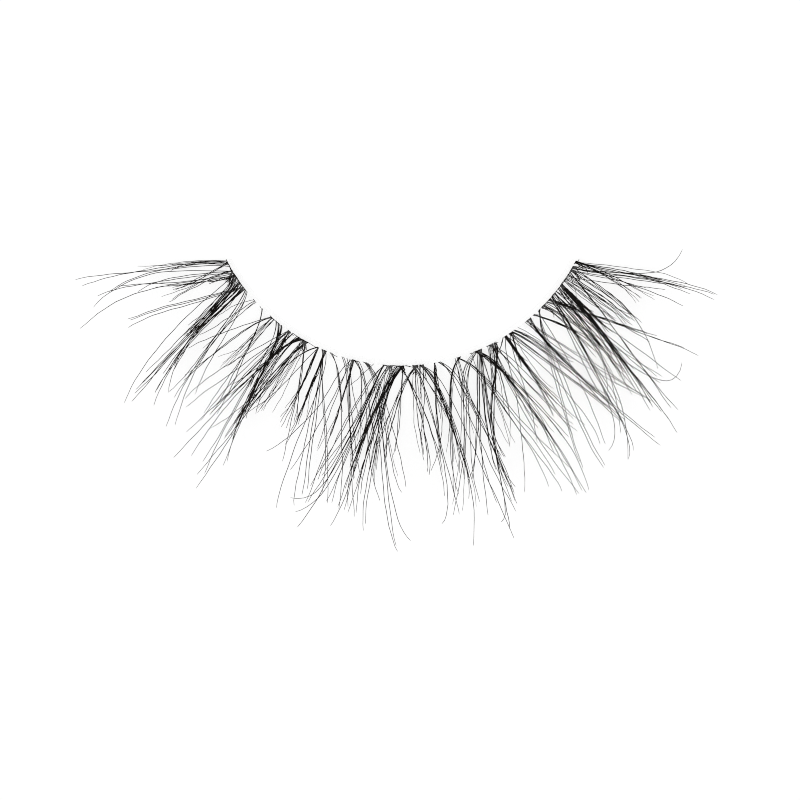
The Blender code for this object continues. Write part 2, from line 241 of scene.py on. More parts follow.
CENTRE = (
    Hair(0.3, -7.7, -8.8, 11.2, 0.2, 2),
    Hair(0.6, -6.3, -8.3, 11.3, 0.4, 2),
    Hair(0.7, -5.7, -7.4, 9.8, 0.3, 2, DARK),
    Hair(-0.5, -5.7, -6.9, 8.4, 0.3, 2, DARK),
    Hair(-2.8, -5.0, -6.8, 4.4, 0.2, 2, DARK),
    Hair(0.4, -5.6, -6.9, 12.5, 0.5, 1, PLAIN, 0.7),
    Hair(0.0, -5.2, -5.7, 12.0, 0.5),
    Hair(0.5, -4.4, -5.6, 8.5, 0.55, 2),
    Hair(4.6, -3.0, -5.0, 7.9, 0.3, 2),
    Hair(4.6, -1.6, -3.1, 7.4, 0.25, 3),
    Hair(0.6, -0.2, -1.2, 6.7, 0.3, 2),
    Hair(3.6, 2.9, 3.3, 6.6, 0.5, 1, FAINT),
    Hair(4.0, 3.8, 4.2, 7.2, 0.5, 2),
    Hair(-0.8, 5.9, 7.6, 8.2, 0.2),
    Hair(-0.6, 6.4, 7.0, 10.0, 0.2),
    Hair(-0.8, 4.7, 5.6, 8.3, 0.35, 2, DARK),
    Hair(5.3, 4.9, 4.3, 6.3, 0.5, 1, FAINT),
    Hair(4.0, 4.6, 5.1, 6.6, 0.5, 1, FAINT),
    Hair(3.2, 6.8, 8.1, 6.8, 0.4),
    Hair(3.4, 8.1, 8.0, 12.0, 0.4, 1, PLAIN, -2.0),
    Hair(3.6, 8.0, 10.1, 11.5, 0.4),
    Hair(5.5, 5.2, 5.0, 2.6, 0.5, 2, FAINT),
    Hair(6.2, 5.7, 4.4, 5.2, 0.2),
)

FIFTH_WISP = (
    Hair(9.8, 8.4, 7.8, 7.2, 0.1, 3, DARK),
    Hair(9.6, 9.0, 8.7, 4.2, 0.1),
    Hair(9.6, 9.3, 6.0, 8.0, 0.0),
    Hair(17.5, 10.8, 9.3, 10.2, 0.55, 2),
    Hair(17.3, 11.6, 10.3, 6.8, 0.5, 2, FAINT),
    Hair(4.2, 8.2, 10.5, 4.2, 0.1, 2),
    Hair(5.6, 9.8, 11.0, 5.0, 0.1),
    Hair(22.5, 12.8, 8.5, 10.7, 0.6, 1, FAINT),
    Hair(23.2, 13.2, 8.8, 11.5, 0.6),
    Hair(21.5, 13.4, 10.0, 11.3, 0.6, 1, FAINT),
    Hair(17.3, 11.5, 10.7, 8.0, 0.5, 2, FAINT),
    Hair(5.6, 11.1, 12.1, 9.0, 0.64, 2),
    Hair(4.2, 9.9, 11.7, 7.0, 0.1),
    Hair(5.4, 10.9, 11.7, 7.0, 0.2, 1, DARK),
    Hair(5.6, 11.9, 11.3, 14.0, 0.3),
    Hair(5.2, 11.6, 11.9, 10.5, 0.3, 2),
    Hair(6.0, 11.8, 12.8, 11.2, 0.3, 1, FAINT),
    Hair(5.5, 14.6, 16.5, 14.2, 0.5),
    Hair(11.0, 17.6, 19.0, 11.8, 0.4, 3),
    Hair(11.5, 16.0, 18.3, 12.3, 0.4),
    Hair(15.8, 15.5, 15.4, 5.8, 0.5, 1, FAINT),
    Hair(15.8, 15.5, 15.3, 2.6, 0.5, 2, FAINT),
    Hair(16.7, 16.7, 16.9, 5.0, 0.0, 2),
    Hair(16.3, 23.8, 25.4, 11.5, 0.5),
)

SIXTH_WISP = (
    Hair(23.0, 14.6, 12.0, 8.9, 0.5),
    Hair(23.0, 14.6, 12.6, 10.9, 0.5),
    Hair(23.2, 17.3, 12.9, 9.2, 0.05, 2, DARK, -0.5),
    Hair(23.5, 16.2, 15.1, 12.0, 0.1, 1, PLAIN, -1.5),
    Hair(23.0, 16.5, 15.7, 11.3, 0.1),
    Hair(23.6, 18.2, 18.5, 13.4, 0.0, 2, DARK, -2.5),
    Hair(23.4, 18.7, 17.3, 9.5, 0.0, 2),
    Hair(20.8, 20.5, 20.6, 7.4, 0.5, 1, FAINT),
    Hair(23.5, 22.3, 21.8, 7.6, 0.3, 2, FAINT),
    Hair(21.8, 28.0, 28.5, 9.4, 0.4, 3, DARK),
    Hair(22.3, 25.0, 27.0, 2.8, 0.2, 3, DARK),
    Hair(27.4, 25.2, 22.4, 3.4, -0.1, 3, DARK),
    Hair(25.9, 24.0, 21.9, 3.7, 0.0, 3),
    Hair(22.0, 28.8, 29.1, 13.2, 0.5),
    Hair(22.5, 28.7, 29.6, 12.9, 0.45),
    Hair(21.5, 28.4, 28.3, 13.0, 0.5),
    Hair(16.2, 25.0, 28.8, 10.9, 0.45),
    Hair(16.4, 24.4, 27.4, 10.9, 0.45),
    Hair(16.2, 24.3, 27.4, 12.2, 0.45, 1, PLAIN, -1.5),
    Hair(26.5, 25.4, 24.0, 5.3, 0.2, 2, FAINT),
    Hair(26.6, 26.7, 28.4, 13.0, 0.3),
    Hair(27.2, 27.2, 27.6, 7.2, 0.3, 2),
    Hair(22.5, 30.4, 31.2, 13.1, 0.3, 1, PLAIN, -0.4),
    Hair(22.5, 29.2, 31.8, 8.9, 0.2, 2, DARK),
    Hair(26.3, 30.8, 33.2, 8.9, 0.45, 2),
    Hair(26.5, 32.0, 33.9, 8.0, 0.4),
    Hair(32.0, 25.6, 20.2, 11.2, 0.3),
    Hair(33.5, 29.3, 26.2, 8.2, 0.4),
    Hair(28.0, 24.9, 21.6, 7.5, 0.4, 1, FAINT),
    Hair(28.2, 29.0, 29.9, 8.1, 0.5, 1, FAINT),
    Hair(28.0, 20.2, 19.2, 10.6, -0.2, 2),
    Hair(28.3, 21.0, 19.2, 8.2, -0.3, 3, DARK),
    Hair(24.0, 18.9, 18.8, 11.5, 0.0, 2),
)

SEVENTH_WISP = (
    Hair(31.6, 32.2, 32.2, 7.0, 0.3, 3),
    Hair(33.9, 32.4, 31.8, 2.6, 0.2, 3, DARK),
    Hair(31.8, 32.6, 33.2, 6.4, 0.3, 3, DARK),
    Hair(34.2, 33.5, 34.0, 5.3, 0.3, 1, FAINT),
    Hair(31.9, 32.4, 33.3, 8.9, 0.3),
    Hair(32.0, 33.1, 35.8, 8.9, 0.3),
    Hair(33.2, 38.8, 41.1, 10.5, 0.05, 3, DARK),
    Hair(31.8, 36.3, 36.2, 10.7, 0.2),
    Hair(35.0, 37.3, 38.8, 3.0, 0.1, 2, FAINT),
    Hair(34.2, 39.4, 40.9, 8.6, 0.2, 2),
    Hair(34.6, 40.0, 40.8, 7.7, 0.2, 2, FAINT),
    Hair(39.7, 40.4, 41.1, 8.9, 0.0, 2),
    Hair(36.2, 40.2, 40.7, 7.0, 0.2, 1, FAINT),
    Hair(40.5, 39.9, 41.0, 4.6, 0.4, 3, DARK),
    Hair(39.7, 39.9, 40.2, 3.0, 0.0, 3, DARK),
    Hair(44.4, 35.4, 30.9, 11.5, 0.2, 2),
    Hair(44.2, 36.2, 33.9, 12.3, 0.2),
    Hair(44.2, 37.0, 34.0, 12.2, 0.2),
    Hair(43.8, 40.2, 36.2, 10.9, 0.1),
    Hair(49.4, 43.3, 38.9, 11.4, -0.1, 1, PLAIN, -2.7),
    Hair(49.4, 43.0, 40.4, 12.8, -0.1, 2, PLAIN, -2.0),
    Hair(49.4, 43.6, 40.9, 9.0, -0.1, 1, DARK),
    Hair(42.0, 46.4, 47.5, 5.5, 0.0, 4, DARK),
    Hair(39.2, 44.0, 47.0, 10.9, 0.0, 2),
    Hair(38.8, 42.8, 46.6, 10.5, 0.0),
    Hair(34.0, 40.6, 42.4, 13.6, 0.2),
    Hair(35.0, 40.9, 42.8, 12.9, 0.25),
)

EIGHTH_WISP = (
    Hair(51.5, 48.6, 40.4, 9.0, 0.0),
    Hair(51.0, 47.0, 39.4, 11.0, 0.1),
    Hair(50.3, 45.9, 38.2, 12.9, 0.1),
    Hair(50.9, 49.8, 48.9, 6.4, 0.2, 2),
    Hair(49.6, 44.8, 42.2, 9.8, 0.0, 2),
    Hair(50.0, 47.6, 45.4, 8.1, 0.4, 2, FAINT),
    Hair(46.2, 46.4, 46.3, 5.6, 0.5, 2),
    Hair(54.3, 49.0, 47.2, 13.8, 0.05, 1, PLAIN, -0.8),
    Hair(54.2, 49.4, 47.2, 12.6, 0.05, 2, DARK),
    Hair(54.1, 50.1, 46.7, 11.2, 0.05, 3, DARK),
    Hair(54.1, 51.0, 47.5, 8.6, 0.05, 4, DARK),
    Hair(53.9, 53.3, 52.9, 3.2, 0.0, 3, DARK),
    Hair(53.6, 52.2, 51.1, 2.2, 0.0, 2, DARK),
    Hair(54.0, 50.2, 46.2, 9.6, 0.05, 2, DARK),
    Hair(52.6, 49.2, 46.9, 8.0, 0.2, 3, DARK),
    Hair(48.6, 51.6, 53.0, 4.8, 0.0, 2),
    Hair(48.6, 47.4, 46.4, 3.4, 0.2, 2),
    Hair(46.3, 47.2, 48.2, 3.4, 0.0, 2),
    Hair(53.6, 49.7, 45.4, 11.2, 0.1),
    Hair(51.0, 48.3, 46.3, 9.0, 0.5),
    Hair(51.0, 48.5, 46.0, 9.4, 0.5),
    Hair(46.0, 48.9, 50.8, 10.7, 0.5, 1, PLAIN, 5.2),
    Hair(58.4, 52.0, 48.7, 12.7, 0.05, 2, DARK),
    Hair(50.8, 50.3, 50.0, 10.4, 0.5),
    Hair(51.5, 51.0, 50.5, 9.9, 0.5),
    Hair(53.0, 50.6, 49.2, 6.8, 0.2, 2),
    Hair(47.0, 49.5, 52.1, 10.2, 0.3),
    Hair(48.2, 54.1, 57.0, 10.3, 0.05),
    Hair(47.4, 53.3, 55.2, 7.9, 0.05, 2, DARK),
    Hair(48.0, 53.3, 57.0, 8.1, 0.05),
    Hair(48.5, 54.6, 58.2, 11.5, 0.05),
    Hair(51.5, 52.4, 53.2, 11.5, 0.3),
    Hair(53.8, 52.6, 52.2, 5.2, 0.4, 4, DARK),
    Hair(55.6, 54.8, 54.3, 5.0, 0.3, 3, FAINT),
    Hair(59.3, 58.2, 51.6, 9.6, 0.3),
    Hair(56.2, 55.9, 55.9, 6.1, 0.4, 2),
    Hair(56.3, 56.7, 56.1, 5.8, 0.5, 2),
    Hair(57.6, 57.4, 56.5, 6.1, 0.3, 3, DARK),
    Hair(58.7, 58.2, 57.2, 6.6, 0.3, 2),
    Hair(60.0, 59.2, 57.7, 5.9, 0.3, 2),
    Hair(55.2, 55.0, 54.7, 5.0, 0.3, 2, FAINT),
    Hair(58.3, 55.6, 53.3, 1.7, 0.0, 1, FAINT),
)

RIGHT_CORNER = (
    Hair(59.4, 65.6, 67.3, 10.6, 0.0, 2),
    Hair(59.6, 64.6, 67.3, 8.3, 0.0, 3),
    Hair(61.3, 66.3, 68.7, 10.7, 0.0),
    Hair(61.6, 65.0, 67.2, 6.5, 0.0, 1, DARK),
    Hair(59.8, 61.6, 63.8, 3.4, 0.0),
    Hair(61.8, 65.3, 71.0, 7.1, 0.0, 1, PLAIN, 2.5),
    Hair(61.6, 66.7, 68.7, 8.4, 0.0, 1, FAINT),
    Hair(61.5, 65.3, 66.2, 8.8, 0.0),
    Hair(61.3, 63.1, 64.3, 8.7, 0.1),
    Hair(56.8, 61.7, 65.7, 7.0, 0.0),
    Hair(58.8, 61.9, 64.2, 5.6, 0.0),
    Hair(62.0, 63.0, 62.4, 6.6, 0.3, 2, FAINT),
    Hair(61.8, 62.2, 61.3, 5.6, 0.3, 2, FAINT),
    Hair(62.0, 62.4, 61.6, 5.7, 0.3, 2, FAINT),
)

TIED_ENDS = (
    Hair(-62.5, -59.5, -56.5, 0.03, 0.0, 2),
    Hair(-58.4, -57.3, -56.0, 0.8, 0.0, 5, DARK),
    Hair(-56.8, -58.1, -59.5, 2.0, 0.0, 3, DARK),
    Hair(-60.8, -59.5, -58.2, 0.1, 0.0, 2, DARK),
    Hair(-57.2, -57.3, -57.4, 0.9, 0.0, 3, DARK),
    Hair(-56.0, -55.4, -54.8, 0.05, 0.0, 2, DARK),
    Hair(-57.0, -56.3, -55.5, 0.9, 0.0, 2, DARK),
    Hair(-57.0, -53.8, -50.5, 0.03, 0.0, 2),
    Hair(-54.6, -54.2, -54.0, 0.9, 0.0, 2, DARK),
    Hair(-52.8, -52.3, -52.1, 2.2, 0.0, 3, DARK),
    Hair(-48.5, -47.9, -47.3, 0.02, 0.0, 1, FAINT),
    Hair(-45.8, -45.4, -45.1, 0.02, 0.0, 1, FAINT),
    Hair(-41.3, -40.2, -39.0, 0.02, 0.0, 2),
    Hair(-39.5, -38.0, -36.5, 0.1, 0.0),
    Hair(-34.7, -34.1, -33.4, 0.1, 0.0, 2),
    Hair(-34.6, -34.3, -34.2, 0.9, 0.0, 4, DARK),
    Hair(-33.4, -31.0, -28.6, 0.05, 0.0, 2),
    Hair(-29.4, -28.9, -28.4, 0.8, 0.0, 4, DARK),
    Hair(-28.8, -28.2, -27.5, 0.6, 0.0, 2, DARK),
    Hair(-28.6, -27.0, -25.4, 0.05, 0.0, 1, FAINT),
    Hair(-20.9, -20.1, -19.3, 0.1, 0.0),
    Hair(-14.1, -13.2, -12.3, 0.05, 0.0, 2),
    Hair(-14.0, -13.9, -13.8, 1.7, 0.0, 1, DARK),
    Hair(-10.8, -10.1, -9.4, 0.1, 0.0, 2),
    Hair(-5.4, -4.1, -2.8, 0.1, 0.0, 3),
    Hair(-2.9, -2.8, -2.7, 0.8, 0.0, 3, DARK),
    Hair(-0.4, 0.1, 0.5, 0.7, 0.0, 2, DARK),
    Hair(-2.2, -0.6, 1.0, 0.1, 0.0, 3),
    Hair(0.4, 0.8, 1.1, 0.6, 0.0, 3, DARK),
    Hair(1.0, 2.2, 3.4, 0.1, 0.0, 2),
    Hair(3.5, 3.8, 4.1, 0.7, 0.0, 4, DARK),
    Hair(3.4, 4.3, 5.2, 0.15, 0.0, 2),
    Hair(6.5, 6.2, 6.0, 1.2, 0.0, 2, DARK),
    Hair(9.6, 9.3, 9.0, 1.7, 0.0, 4, DARK),
    Hair(20.3, 21.5, 22.7, 0.15, 0.0),
    Hair(22.2, 23.0, 23.8, 0.7, 0.0, 1, DARK),
    Hair(25.5, 27.2, 29.0, 0.1, 0.0),
    Hair(26.8, 27.4, 28.0, 0.9, 0.0, 2, DARK),
    Hair(31.0, 29.3, 27.6, 0.9, 0.0, 2),
    Hair(31.7, 31.9, 32.2, 2.2, 0.0, 3, DARK),
    Hair(33.0, 33.6, 34.2, 0.1, 0.0, 2),
    Hair(39.4, 40.1, 40.8, 0.1, 0.0, 2),
    Hair(42.0, 42.5, 43.0, 0.2, 0.0, 2),
    Hair(45.2, 45.9, 46.6, 0.5, 0.0, 3, DARK),
    Hair(45.9, 46.1, 46.3, 1.2, 0.0, 2, DARK),
    Hair(45.3, 47.8, 50.3, 0.05, 0.0, 2),
    Hair(54.0, 53.2, 52.5, 1.5, 0.0, 3, DARK),
    Hair(49.8, 52.4, 55.0, 0.05, 0.0, 2),
    Hair(53.8, 53.3, 52.7, 1.5, 0.0, 4, DARK),
    Hair(54.5, 57.2, 59.9, 0.05, 0.0, 2),
    Hair(58.9, 58.7, 58.4, 1.0, 0.0, 4, DARK),
    Hair(60.0, 60.4, 60.9, 0.8, 0.0, 3, DARK),
    Hair(61.2, 61.7, 62.2, 0.15, 0.0, 2, DARK),
    Hair(61.7, 61.6, 61.7, 1.2, 0.0, 4, DARK),
)

FIBRES = (
    *LEFT_CORNER,
    *FIRST_WISP,
    *SECOND_WISP,
    *THIRD_WISP,
    *FOURTH_WISP,
    *CENTRE,
    *FIFTH_WISP,
    *SIXTH_WISP,
    *SEVENTH_WISP,
    *EIGHTH_WISP,
    *RIGHT_CORNER,
    *TIED_ENDS,
)


class Term:
    """A number in a shader, on which Python's operators add Math nodes."""

    def __init__(self, sheet: "NodeSheet", socket: bpy.types.NodeSocket) -> None:
        """Wrap the output socket that gives the number."""
        self.sheet = sheet
        self.socket = socket

    def _joined(self, operation: str, first: object, second: object) -> "Term":
        """Add one Math node.

        Args:
            operation: The Math node's operation.
            first: Its first value, a number or a Term.
            second: Its second value, a number or a Term.

        Returns:
            The node's result.
        """
        node = self.sheet.node("Math", {"operation": operation}, {0: first, 1: second})
        return Term(self.sheet, node.outputs[0])

    def __add__(self, other: object) -> "Term":
        """Return this number plus another."""
        return self._joined("ADD", self, other)

    def __radd__(self, other: object) -> "Term":
        """Return another number plus this one."""
        return self._joined("ADD", other, self)

    def __sub__(self, other: object) -> "Term":
        """Return this number less another."""
        return self._joined("SUBTRACT", self, other)

    def __rsub__(self, other: object) -> "Term":
        """Return another number less this one."""
        return self._joined("SUBTRACT", other, self)

    def __mul__(self, other: object) -> "Term":
        """Return this number times another."""
        return self._joined("MULTIPLY", self, other)

    def __rmul__(self, other: object) -> "Term":
        """Return another number times this one."""
        return self._joined("MULTIPLY", other, self)

    def __pow__(self, other: object) -> "Term":
        """Return this number to a power."""
        return self._joined("POWER", self, other)


class NodeSheet:
    """The nodes of one material in the making."""

    def __init__(self, name: str) -> None:
        """Start an empty material.

        Args:
            name: The material's name.
        """
        self.material = bpy.data.materials.new(name)
        self.material.use_nodes = True
        self.material.node_tree.nodes.clear()

    def node(
        self, kind: str, settings: Mapping[str, object], sockets: Mapping[int | str, object]
    ) -> bpy.types.Node:
        """Add a node.

        Args:
            kind: The node's type without its ShaderNode prefix.
            settings: The node's own settings.
            sockets: Values, Terms or output sockets for its inputs, by name or number.

        Returns:
            The new node.
        """
        tree = self.material.node_tree
        made = tree.nodes.new("ShaderNode" + kind)
        for name, value in settings.items():
            setattr(made, name, value)
        for key, value in sockets.items():
            source = value.socket if isinstance(value, Term) else value
            if isinstance(source, bpy.types.NodeSocket):
                tree.links.new(source, made.inputs[key])
            else:
                made.inputs[key].default_value = source
        return made

    def attribute(self, name: str, output: str) -> bpy.types.NodeSocket:
        """Return an output of a mesh attribute."""
        return self.node("Attribute", {"attribute_name": name}, {}).outputs[output]

    def noise(self, where: bpy.types.NodeSocket, scale: float, detail: float) -> Term:
        """Return noise between 0 and 1.

        Args:
            where: The coordinates to read it at.
            scale: Its number of waves to a unit.
            detail: Its number of finer octaves.

        Returns:
            The noise.
        """
        sockets = {"Vector": where, "Scale": scale, "Detail": detail}
        return Term(self, self.node("TexNoise", {}, sockets).outputs[0])

    def blended(self, share: Term, start: Colour, end: Colour) -> bpy.types.NodeSocket:
        """Mix two colours.

        Args:
            share: How much of the second colour there is.
            start: The first colour.
            end: The second colour.

        Returns:
            The mixed colour.
        """
        # The Mix node's colour sockets are numbered after those for numbers and vectors.
        settings = {"data_type": "RGBA", "clamp_factor": True}
        sockets = {0: share, 6: (*start, 1.0), 7: (*end, 1.0)}
        return self.node("Mix", settings, sockets).outputs[2]

    def bump(self, height: Term, strength: float, depth: float) -> bpy.types.NodeSocket:
        """Turn a height into a surface normal.

        Args:
            height: The height between 0 and 1.
            strength: How much of the effect is used.
            depth: How deep it goes in metres.

        Returns:
            The normal.
        """
        sockets = {"Height": height, "Strength": strength, "Distance": depth}
        return self.node("Bump", {}, sockets).outputs[0]

    def surface(self, sockets: Mapping[int | str, object]) -> bpy.types.Material:
        """Finish the material with a Principled surface.

        Args:
            sockets: Values or links for the Principled shader's inputs.

        Returns:
            The finished material.
        """
        shader = self.node("BsdfPrincipled", {}, sockets)
        self.node("OutputMaterial", {}, {"Surface": shader.outputs[0]})
        return self.material


@dataclass(frozen=True)
class LashFibre:
    """Drawn black fibre: near black at the root, a shade browner and paler at the fine tip."""

    name: str = "black_fibre"
    root_colour: Colour = (0.0036, 0.0026, 0.0021)
    tip_colour: Colour = (0.016, 0.011, 0.008)
    streak_scale: float = 2.2
    streak_detail: float = 3.0
    grain_scale: float = 9.0
    grain_detail: float = 2.0
    fade_power: float = 3.0
    fade: float = 0.55
    streak_fade: float = 0.9
    grain_fade: float = 0.16
    roughness: float = 0.40
    roughness_spread: float = 0.16
    shine: float = 0.11
    grain_height: float = 0.4
    groove_strength: float = 0.5
    groove_depth: float = 0.000004

    def make(self) -> bpy.types.Material:
        """Make the material, with uneven draw marks along each fibre and a paler tip.

        Returns:
            The material.
        """
        sheet = NodeSheet(self.name)
        share = Term(sheet, sheet.attribute(SHARE, "Fac"))
        strand = sheet.attribute(STRAND, "Vector")
        streak = sheet.noise(strand, self.streak_scale, self.streak_detail)
        grain = sheet.noise(strand, self.grain_scale, self.grain_detail)
        faded = share**self.fade_power * (self.fade + self.streak_fade * streak)
        paleness = faded + self.grain_fade * grain
        grooves = streak + self.grain_height * grain
        return sheet.surface(
            {
                "Base Color": sheet.blended(paleness, self.root_colour, self.tip_colour),
                "Roughness": self.roughness + self.roughness_spread * streak,
                "Specular IOR Level": self.shine,
                "Normal": sheet.bump(grooves, self.groove_strength, self.groove_depth),
            }
        )


@dataclass(frozen=True)
class ClearPolymer:
    """Clear, softly glossy band polymer with faint clouds and fine pits."""

    name: str = "clear_polymer"
    colour: Colour = (0.97, 0.975, 0.97)
    cloud_colour: Colour = (0.93, 0.94, 0.93)
    cloud_scale: float = 900.0
    cloud_detail: float = 3.0
    pit_scale: float = 6000.0
    pit_detail: float = 2.0
    opacity: float = 0.03
    opacity_spread: float = 0.04
    roughness: float = 0.18
    roughness_spread: float = 0.22
    refraction: float = 1.49
    pit_strength: float = 0.35
    pit_depth: float = 0.000006

    def make(self) -> bpy.types.Material:
        """Make the material, a little more opaque where it is cloudy.

        Returns:
            The material.
        """
        sheet = NodeSheet(self.name)
        where = sheet.node("TexCoord", {}, {}).outputs["Object"]
        cloud = sheet.noise(where, self.cloud_scale, self.cloud_detail)
        pits = sheet.noise(where, self.pit_scale, self.pit_detail)
        return sheet.surface(
            {
                "Base Color": sheet.blended(cloud, self.colour, self.cloud_colour),
                "Roughness": self.roughness + self.roughness_spread * cloud,
                "IOR": self.refraction,
                "Alpha": self.opacity + self.opacity_spread * cloud,
                "Normal": sheet.bump(pits, self.pit_strength, self.pit_depth),
            }
        )


@dataclass(frozen=True)
class TablePaper:
    """Plain white paper that fills the picture with even light."""

    name: str = "table_paper"
    colour: Colour = (0.26, 0.26, 0.26)
    shade: Colour = (0.24, 0.24, 0.24)
    fibre_scale: float = 400.0
    fibre_detail: float = 4.0
    roughness: float = 0.9
    glow: float = 0.77

    def make(self) -> bpy.types.Material:
        """Make the material, with faint paper fibres in its white.

        Returns:
            The material.
        """
        sheet = NodeSheet(self.name)
        where = sheet.node("TexCoord", {}, {}).outputs["Object"]
        fibres = sheet.noise(where, self.fibre_scale, self.fibre_detail)
        return sheet.surface(
            {
                "Base Color": sheet.blended(fibres, self.colour, self.shade),
                "Roughness": self.roughness,
                "Emission Color": WHITE,
                "Emission Strength": self.glow,
            }
        )


def smooth_step(low: float, high: float, value: np.ndarray) -> np.ndarray:
    """Return a smooth rise from 0 to 1.

    Args:
        low: Where it starts.
        high: Where it ends.
        value: Where it is read.

    Returns:
        The rise at each value.
    """
    share = np.clip((value - low) / (high - low), 0.0, 1.0)
    return share * share * (3.0 - 2.0 * share)


def packed_points(node: str) -> np.ndarray:
    """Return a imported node's points in millimetres, one row each."""
    return np.array([v.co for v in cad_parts[node].data.vertices]) / METRES_PER_MM


@dataclass(frozen=True)
class StripArc:
    """The arc of the band's outer edge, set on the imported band."""

    length: float = 33.0
    sweep: float = 124.3
    facets: int = 61
    foot_height: float = 0.005

    @property
    def radius(self) -> float:
        """Return the arc's radius in millimetres."""
        return self.length / math.radians(self.sweep)

    def centre(self) -> tuple[float, float]:
        """Work out the arc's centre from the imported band's box.

        Returns:
            The centre's x and y in millimetres.
        """
        low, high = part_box(BAND)
        half_facet = math.radians(self.sweep / self.facets / 2.0)
        across = (low.x + high.x) / 2.0 / METRES_PER_MM
        return across, low.y / METRES_PER_MM + self.radius * math.cos(half_facet)

    def place(self, bearing: np.ndarray, reach: np.ndarray, height: np.ndarray) -> np.ndarray:
        """Turn places on the strip into points.

        Args:
            bearing: Bearings in degrees.
            reach: Reaches in millimetres.
            height: Heights in millimetres.

        Returns:
            The points in millimetres, one row each.
        """
        across, along = self.centre()
        angle = np.radians(bearing)
        radius = self.radius + reach
        x = across + radius * np.sin(angle)
        y = along - radius * np.cos(angle)
        return np.stack([x, y, np.broadcast_to(height, x.shape)], axis=-1)

    def span(self, node: str) -> tuple[float, float]:
        """Find where a packed cluster's knot stands on the table.

        Args:
            node: The cluster's name.

        Returns:
            The bearings of the knot's two ends.
        """
        across, along = self.centre()
        points = packed_points(node)
        foot = points[points[:, 2] < self.foot_height]
        bearings = np.degrees(np.arctan2(foot[:, 0] - across, along - foot[:, 1]))
        return float(bearings.min()), float(bearings.max())


@dataclass(frozen=True)
class Curl:
    """How the fibres rise off the table."""

    flat_reach: float = 1.4
    radius: float = 15.5

    def rise(self, reach: np.ndarray) -> np.ndarray:
        """Return how far a fibre has risen at each reach."""
        run = np.maximum(0.0, reach - self.flat_reach)
        return self.radius - np.sqrt(self.radius**2 - run**2)


